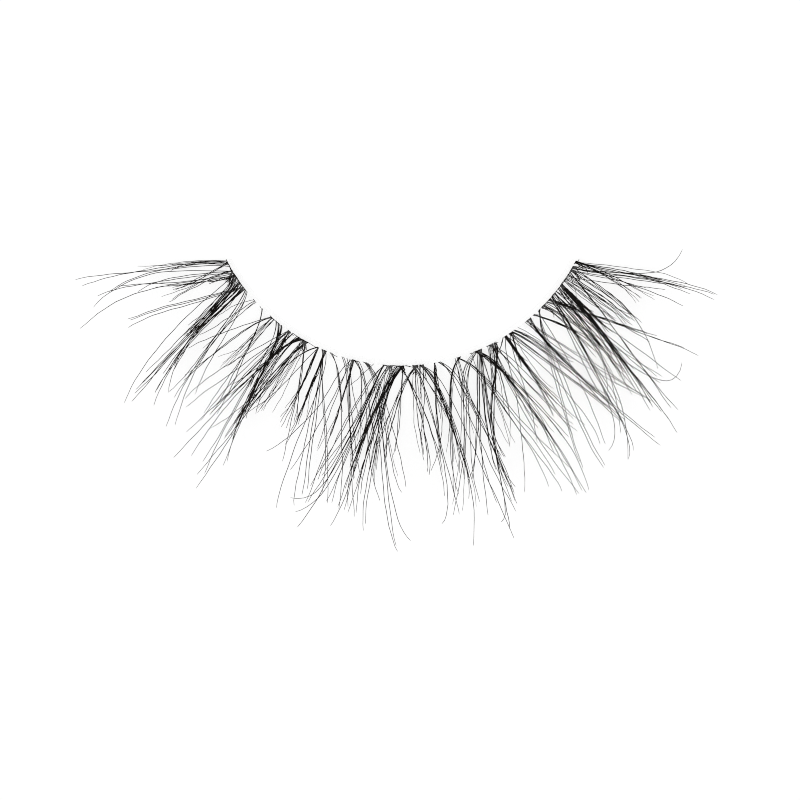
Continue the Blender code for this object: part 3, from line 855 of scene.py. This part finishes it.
@dataclass
class TubeMesh:
    """Tapered round strands gathered into one mesh.

    The strand gap sets the strands apart in the finish's own coordinates, so that no two of them
    have the same grain. The margins keep them apart on the bake map, as shares of each one's column.
    """

    sides: int = 7
    strand_gap: float = 5.0
    side_margin: float = 0.05
    end_margin: float = 0.01

    def __post_init__(self) -> None:
        """Start with no strands."""
        self.points: list[np.ndarray] = []
        self.faces: list[tuple[int, ...]] = []
        self.shares: list[np.ndarray] = []
        self.strands: list[np.ndarray] = []
        self.corners: list[tuple[float, float]] = []
        self.made = 0
        self.vertices = 0

    def add(self, line: np.ndarray, radii: np.ndarray) -> None:
        """Add one strand with a flat root end and a pointed tip.

        Args:
            line: The points of its centre line in millimetres, root first.
            radii: Its radius at each point, in millimetres.
        """
        along = np.gradient(line, axis=0)
        along /= np.linalg.norm(along, axis=1)[:, None]
        side = np.cross(along, (0.0, 0.0, 1.0))
        side /= np.linalg.norm(side, axis=1)[:, None]
        upward = np.cross(side, along)
        count = len(line) - 1
        turn = np.arange(self.sides) * math.tau / self.sides
        sideways = side[:, None] * np.cos(turn)[None, :, None]
        ring = sideways + upward[:, None] * np.sin(turn)[None, :, None]
        rings = line[:count, None] + ring[:count] * radii[:count, None, None]
        self.points.append(np.concatenate([rings.reshape(-1, 3), line[-1:]]))
        steps = np.linalg.norm(np.diff(line, axis=0), axis=1)
        run = np.concatenate([[0.0], np.cumsum(steps)])
        self.shares.append(np.append(np.repeat(run[:count] / run[-1], self.sides), 1.0))
        around = np.tile(np.stack([np.cos(turn), np.sin(turn)], axis=1), (count, 1))
        around = np.vstack([around, (0.0, 0.0)])
        lengthwise = np.append(np.repeat(run[:count], self.sides), run[-1])
        offset = self.strand_gap * self.made
        self.strands.append(np.column_stack([around[:, 0] + offset, around[:, 1], lengthwise]))
        self._cover(count)
        self.vertices += count * self.sides + 1
        self.made += 1

    def _cover(self, count: int) -> None:
        """Add a strand's faces and their places on the bake map.

        Args:
            count: The number of the strand's rings.
        """
        start = self.vertices
        sides = self.sides
        tip = start + count * sides
        for step in range(count - 1):
            near = start + step * sides
            far = near + sides
            low, high = step / count, (step + 1) / count
            for index in range(sides):
                following = (index + 1) % sides
                self.faces.append((near + index, near + following, far + following, far + index))
                left, right = index / sides, (index + 1) / sides
                self.corners += [(left, low), (right, low), (right, high), (left, high)]
        last = tip - sides
        low = 1.0 - 1.0 / count
        for index in range(sides):
            self.faces.append((last + index, last + (index + 1) % sides, tip))
            left, right = index / sides, (index + 1) / sides
            self.corners += [(left, low), (right, low), ((left + right) / 2.0, 1.0)]
        self.faces.append(tuple(start + index for index in reversed(range(sides))))
        self.corners += [(index / sides, 0.0) for index in reversed(range(sides))]

    def make(self, name: str, material: bpy.types.Material) -> bpy.types.Object:
        """Turn the strands into an object.

        Args:
            name: The object's name.
            material: Its finish.

        Returns:
            The object.
        """
        mesh = bpy.data.meshes.new(name)
        points = np.concatenate(self.points) * METRES_PER_MM
        mesh.from_pydata(points.tolist(), [], self.faces)
        share = mesh.attributes.new(SHARE, "FLOAT", "POINT")
        share.data.foreach_set("value", np.concatenate(self.shares).astype(np.float32))
        strand = mesh.attributes.new(STRAND, "FLOAT_VECTOR", "POINT")
        strand.data.foreach_set("vector", np.concatenate(self.strands).astype(np.float32).ravel())
        self._lay_map(mesh)
        mesh.shade_smooth()
        mesh.materials.append(material)
        made = bpy.data.objects.new(name, mesh)
        bpy.context.scene.collection.objects.link(made)
        return made

    def _lay_map(self, mesh: bpy.types.Mesh) -> None:
        """Lay the strands side by side on the bake map.

        Args:
            mesh: The strands' mesh.
        """
        corners = np.array(self.corners)
        each = len(corners) / self.made
        column = np.floor(np.arange(len(corners)) / each)
        across = self.side_margin + (1.0 - 2.0 * self.side_margin) * corners[:, 0]
        corners[:, 0] = (column + across) / self.made
        corners[:, 1] = self.end_margin + (1.0 - 2.0 * self.end_margin) * corners[:, 1]
        layer = mesh.uv_layers.new(name=BAKE_MAP)
        layer.data.foreach_set("uv", corners.astype(np.float32).ravel())


@dataclass(frozen=True)
class FibreShape:
    """How charted fibres become curved, tapered strands."""

    steps: int = 36
    root_reach: float = -0.03
    tip_run: float = 1.025
    root_crowding: float = 1.7
    lean_length: float = 0.75
    root_scatter: float = 0.45
    middle_scatter: float = 0.50
    tip_scatter: float = 0.90
    lean_scatter: float = 0.12
    reach_scatter: float = 0.07
    curl_scatter: float = 0.06
    sway: float = 0.070
    sway_waves: tuple[float, float] = (0.9, 2.3)
    sway_fade: float = 0.4
    kink: float = 0.021
    kink_waves: tuple[float, float] = (4.0, 8.0)
    kink_phase: float = 2.0
    tip_curl: float = 0.7
    hook_power: float = 6.0
    hook_stretch: float = 0.2
    hook_full: float = 3.0
    tip_share: float = 0.62
    tip_power: float = 6.0
    last_ring: float = 0.987

    def bearings(self, hair: Hair, share: np.ndarray) -> np.ndarray:
        """Work out a fibre's bearings.

        Args:
            hair: The charted fibre.
            share: Shares of its reach.

        Returns:
            The bearing at each share.
        """
        # The early swing dies away over the lean length. A line and a square added to it carry the
        # fibre through its charted middle and tip.
        sweep = hair.lean * (hair.middle - hair.root)
        lengths = self.run(hair) / self.lean_length
        to_middle = hair.middle - hair.root - sweep * (1.0 - math.exp(-lengths / 2.0))
        to_tip = hair.tip - hair.root - sweep * (1.0 - math.exp(-lengths))
        linear = 4.0 * to_middle - to_tip
        square = 2.0 * to_tip - 4.0 * to_middle
        curve = hair.root + sweep * (1.0 - np.exp(-lengths * share)) + linear * share + square * share**2
        return curve + hair.hook * share**self.hook_power

    def run(self, hair: Hair) -> float:
        """Return a fibre's whole reach from its root, a little beyond where its tip fades from sight."""
        return hair.reach * self.tip_run - self.root_reach

    def reaches(self, hair: Hair, share: np.ndarray) -> np.ndarray:
        """Work out a fibre's reaches, which turn back a little at a hooked tip.

        Args:
            hair: The charted fibre.
            share: Shares of its run.

        Returns:
            The reach at each share.
        """
        turn = self.hook_stretch * abs(hair.hook) / self.hook_full
        run = (1.0 + turn) * share - turn * share**self.hook_power
        return self.root_reach + self.run(hair) * run

    def wander(self, share: np.ndarray, chance: random.Random) -> np.ndarray:
        """Work out how far a fibre strays from its smooth course, in a slow sway and fine kinks.

        Args:
            share: Shares of its run.
            chance: Where the differences come from.

        Returns:
            The distance to the side at each share, in millimetres.
        """
        phase = chance.uniform(0.0, math.tau)
        waves = chance.uniform(*self.sway_waves)
        kinks = chance.uniform(*self.kink_waves)
        slow = np.sin(waves * math.tau * share + phase)
        fine = np.sin(kinks * math.tau * share + self.kink_phase * phase)
        sway = self.sway * share * (1.0 - self.sway_fade * share) * slow
        return sway + self.kink * np.sqrt(share) * fine

    def scattered(self, hair: Hair, chance: random.Random) -> Hair:
        """Return one fibre of a bundle, a little off the charted one.

        Args:
            hair: The charted bundle.
            chance: Where the differences come from.

        Returns:
            The single fibre.
        """
        return Hair(
            hair.root + self.root_scatter * chance.uniform(-1.0, 1.0),
            hair.middle + self.middle_scatter * chance.uniform(-1.0, 1.0),
            hair.tip + self.tip_scatter * chance.uniform(-1.0, 1.0),
            hair.reach * (1.0 - self.reach_scatter * chance.random()),
            hair.lean + self.lean_scatter * chance.uniform(-1.0, 1.0),
            1,
            hair.tone,
            hair.hook * (1.0 - self.reach_scatter * chance.random()),
        )

    def thickness(self, tone: Tone, share: np.ndarray) -> np.ndarray:
        """Return a fibre's radius at each share of its run, fine at the tip."""
        taper = 1.0 - (1.0 - self.tip_share) * share**self.tip_power
        return tone.value / 2.0 * taper

    def shares(self) -> np.ndarray:
        """Return the shares at which a fibre is worked out, close together at its root."""
        crowded = np.linspace(0.0, 1.0, self.steps) ** self.root_crowding
        return np.insert(crowded, -1, self.last_ring)


@dataclass
class LashCluster:
    """One tied cluster of fibres, which stands for a packed cluster of locks.

    Neighbouring clusters lie in different height layers, so that their fibres cross over each other.
    """

    index: int
    hairs: Sequence[Hair]
    arc: StripArc
    curl: Curl
    shape: FibreShape
    layers: int = 4
    layer_step: float = 0.19
    first_layer: float = 0.085
    bundle_height: float = 0.05
    root_height: float = 0.29
    settle_reach: float = 0.9
    seed: int = 4100

    @property
    def name(self) -> str:
        """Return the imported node's name."""
        return f"lash_cluster_{self.index + 1:02d}"

    def build(self, material: bpy.types.Material) -> bpy.types.Object:
        """Build the cluster's fibres as one piece.

        Args:
            material: The fibres' finish.

        Returns:
            The piece.
        """
        chance = random.Random(self.seed + self.index)
        tubes = TubeMesh()
        for hair in self.hairs:
            for number in range(hair.count):
                single = hair if number == 0 else self.shape.scattered(hair, chance)
                self._grow(tubes, single, chance)
        return tubes.make(f"fibres_{self.index + 1:02d}", material)

    def _grow(self, tubes: TubeMesh, hair: Hair, chance: random.Random) -> None:
        """Add one fibre.

        Args:
            tubes: The mesh it is added to.
            hair: The fibre.
            chance: Where its small differences come from.
        """
        share = self.shape.shares()
        reach = self.shape.reaches(hair, share)
        bearing = self.shape.bearings(hair, share)
        astray = self.shape.wander(share, chance)
        bearing = bearing + np.degrees(astray / (self.arc.radius + reach))
        bearing += self.shape.tip_curl * chance.uniform(-1.0, 1.0) * share**self.shape.hook_power
        layer = self.first_layer + self.index % self.layers * self.layer_step
        base = layer + self.bundle_height * chance.uniform(-1.0, 1.0)
        rise = self.curl.rise(reach) * (1.0 - self.shape.curl_scatter * chance.random())
        root = self.root_height + self.bundle_height * chance.uniform(-1.0, 1.0)
        settled = smooth_step(self.shape.root_reach, self.settle_reach, reach)
        height = root + (base - root) * settled + rise
        tubes.add(self.arc.place(bearing, reach, height), self.shape.thickness(hair.tone, share))


@dataclass(frozen=True)
class Bar:
    """One length of the clear polymer, the band's or a bead's, between two bearings and two reaches."""

    start: float
    end: float
    steps: int
    inner: float
    outer: float
    top: float


@dataclass
class ClearBand:
    """The clear band and the clear beads that seal each cluster's ties to it."""

    arc: StripArc
    width: float = 0.45
    thickness: float = 0.22
    steps: int = 220
    corners: int = 20
    squareness: float = 3.2
    end_rounding: float = 0.35
    end_depth: float = 0.96
    bead_inner: float = -0.02
    bead_outer: float = 0.40
    bead_end: float = 0.15
    bead_steps: int = 14

    def build(
        self, knots: Mapping[str, tuple[float, float]], material: bpy.types.Material
    ) -> bpy.types.Object:
        """Build the band and its beads as one piece.

        Args:
            knots: The bearings of each cluster's knot, by node.
            material: The clear finish.

        Returns:
            The piece.
        """
        points: list[np.ndarray] = []
        faces: list[tuple[int, ...]] = []
        half = self.arc.sweep / 2.0
        bars = [Bar(-half, half, self.steps, -self.width, 0.0, self.thickness)]
        for node, (start, end) in knots.items():
            first, last = start - self.bead_end, end + self.bead_end
            top = self._knot_top(node)
            bars.append(Bar(first, last, self.bead_steps, self.bead_inner, self.bead_outer, top))
        for bar in bars:
            self._add_bar(points, faces, bar)
        mesh = bpy.data.meshes.new("clear_band")
        mesh.from_pydata((np.concatenate(points) * METRES_PER_MM).tolist(), [], faces)
        mesh.shade_smooth()
        mesh.materials.append(material)
        made = bpy.data.objects.new("clear_band", mesh)
        bpy.context.scene.collection.objects.link(made)
        return made

    def _knot_top(self, node: str) -> float:
        """Find how high a packed cluster's knot is.

        Args:
            node: The cluster's name.

        Returns:
            The height of its highest point near the band.
        """
        across, along = self.arc.centre()
        points = packed_points(node)
        reach = np.hypot(points[:, 0] - across, points[:, 1] - along) - self.arc.radius
        return float(points[reach < self.bead_outer, 2].max())

    def _add_bar(self, points: list[np.ndarray], faces: list[tuple[int, ...]], bar: Bar) -> None:
        """Add a bar with a soft rectangular section and rounded ends.

        Args:
            points: The mesh's points so far.
            faces: The mesh's faces so far.
            bar: The bar.
        """
        first = sum(len(block) for block in points)
        turn = np.arange(self.corners) * math.tau / self.corners
        power = 2.0 / self.squareness
        across = np.sign(np.cos(turn)) * np.abs(np.cos(turn)) ** power
        upward = np.sign(np.sin(turn)) * np.abs(np.sin(turn)) ** power
        middle, half = (bar.inner + bar.outer) / 2.0, (bar.outer - bar.inner) / 2.0
        bearings = np.linspace(bar.start, bar.end, bar.steps + 1)
        from_end = np.minimum(bearings - bar.start, bar.end - bearings)
        rounding = np.degrees(self.end_rounding / self.arc.radius)
        full = np.sqrt(1.0 - np.clip(1.0 - from_end / rounding, 0.0, self.end_depth) ** 2)
        for bearing, swell in zip(bearings, full):
            reach = middle + half * swell * across
            height = bar.top / 2.0 + bar.top / 2.0 * swell * upward
            points.append(self.arc.place(np.full(self.corners, bearing), reach, height))
        for step in range(bar.steps):
            near = first + step * self.corners
            far = near + self.corners
            for index in range(self.corners):
                following = (index + 1) % self.corners
                faces.append((near + index, near + following, far + following, far + index))
        last = first + bar.steps * self.corners
        faces.append(tuple(first + index for index in reversed(range(self.corners))))
        faces.append(tuple(last + index for index in range(self.corners)))


@dataclass(frozen=True)
class Studio:
    """The white table, its soft lights and the camera straight above the strip."""

    table_size: float = 1.6
    table_drop: float = 0.00002
    view_width: float = 0.0615
    view_centre: tuple[float, float] = (0.00022, 0.00018)
    camera_height: float = 2.0
    farthest_seen: float = 8.0
    sensor: float = 36.0
    sky: float = 0.9
    film_spread: float = 1.0
    lamp_size: float = 0.5
    lamp_power: float = 0.6
    lamp_places: tuple[tuple[float, float, float], ...] = ((-0.55, -0.35, 0.6), (0.5, 0.45, 0.7))

    def build(self) -> None:
        """Build the table, the lights and the camera."""
        self._lay_table()
        self._light()
        self._aim()

    def _lay_table(self) -> None:
        """Lay the table just under the strip."""
        half = self.table_size / 2.0
        corners = [(-half, -half), (half, -half), (half, half), (-half, half)]
        mesh = bpy.data.meshes.new("table")
        mesh.from_pydata([(x, y, -self.table_drop) for x, y in corners], [], [(0, 1, 2, 3)])
        mesh.materials.append(TablePaper().make())
        table = bpy.data.objects.new("table", mesh)
        bpy.context.scene.collection.objects.link(table)

    def _light(self) -> None:
        """Fill the studio with even light."""
        scene = bpy.context.scene
        world = bpy.data.worlds.new("white_studio")
        world.use_nodes = True
        background = world.node_tree.nodes["Background"]
        background.inputs["Color"].default_value = WHITE
        background.inputs["Strength"].default_value = self.sky
        scene.world = world
        for index, place in enumerate(self.lamp_places):
            lamp = bpy.data.lights.new(f"softbox_{index + 1}", "AREA")
            lamp.size = self.lamp_size
            lamp.energy = self.lamp_power
            holder = bpy.data.objects.new(lamp.name, lamp)
            holder.location = place
            holder.rotation_euler = (-Vector(place)).to_track_quat("-Z", "Y").to_euler()
            scene.collection.objects.link(holder)
        scene.view_settings.view_transform = "Standard"
        scene.cycles.filter_width = self.film_spread

    def _aim(self) -> None:
        """Set the camera straight above the strip, through a long lens."""
        lens = bpy.data.cameras.new("camera")
        lens.sensor_width = self.sensor
        lens.lens = self.sensor * self.camera_height / self.view_width
        lens.clip_end = self.farthest_seen
        camera = bpy.data.objects.new("camera", lens)
        camera.location = (*self.view_centre, self.camera_height)
        bpy.context.scene.collection.objects.link(camera)
        bpy.context.scene.camera = camera


@dataclass
class LashStrip:
    """The whole strip: the clear band and its clusters of fibres."""

    arc: StripArc
    curl: Curl
    shape: FibreShape
    middle_share: float = 0.001

    def knots(self) -> dict[str, tuple[float, float]]:
        """Return the bearings of each cluster's knot, by node."""
        names = sorted(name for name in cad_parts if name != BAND)
        return {name: self.arc.span(name) for name in names}

    def build(self) -> None:
        """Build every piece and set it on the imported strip."""
        knots = self.knots()
        polymer = ClearPolymer()
        band = ClearBand(self.arc).build(knots, polymer.make())
        self._seat(band, BAND, polymer.name)
        fibre = LashFibre()
        black = fibre.make()
        shared = self._shared_out(knots)
        for index, node in enumerate(knots):
            cluster = LashCluster(index, shared[node], self.arc, self.curl, self.shape)
            self._seat(cluster.build(black), cluster.name, fibre.name)

    def _shared_out(self, knots: Mapping[str, tuple[float, float]]) -> dict[str, list[Hair]]:
        """Give each charted fibre to the knot that its root is nearest to.

        Args:
            knots: The bearings of each cluster's knot, by node.

        Returns:
            Each cluster's fibres, by node.
        """
        shared: dict[str, list[Hair]] = {node: [] for node in knots}
        for hair in FIBRES:
            nearest = min(knots, key=lambda node: self._gap(knots[node], hair.root))
            shared[nearest].append(hair)
        return shared

    def _gap(self, knot: tuple[float, float], bearing: float) -> float:
        """Find how far a root is from a knot, where the nearer middle settles a tie.

        Args:
            knot: The bearings of the knot's two ends.
            bearing: The root's bearing.

        Returns:
            How far the root is outside the knot, and a small share of its way to the middle.
        """
        start, end = knot
        outside = max(start - bearing, bearing - end, 0.0)
        return outside + self.middle_share * abs(bearing - (start + end) / 2.0)

    @staticmethod
    def _seat(piece: bpy.types.Object, node: str, slot: str) -> None:
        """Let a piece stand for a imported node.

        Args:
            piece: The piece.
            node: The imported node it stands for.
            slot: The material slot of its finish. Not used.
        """
        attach(piece, "root")
        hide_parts(node)
        LOG.info("%s stands for %s with %d faces", piece.name, node, len(piece.data.polygons))


def main() -> None:
    """Dress the strip and set up the studio."""
    logging.basicConfig(level=logging.INFO, format="%(message)s")
    LashStrip(StripArc(), Curl(), FibreShape()).build()
    Studio().build()


if __name__ == "__main__":
    main()
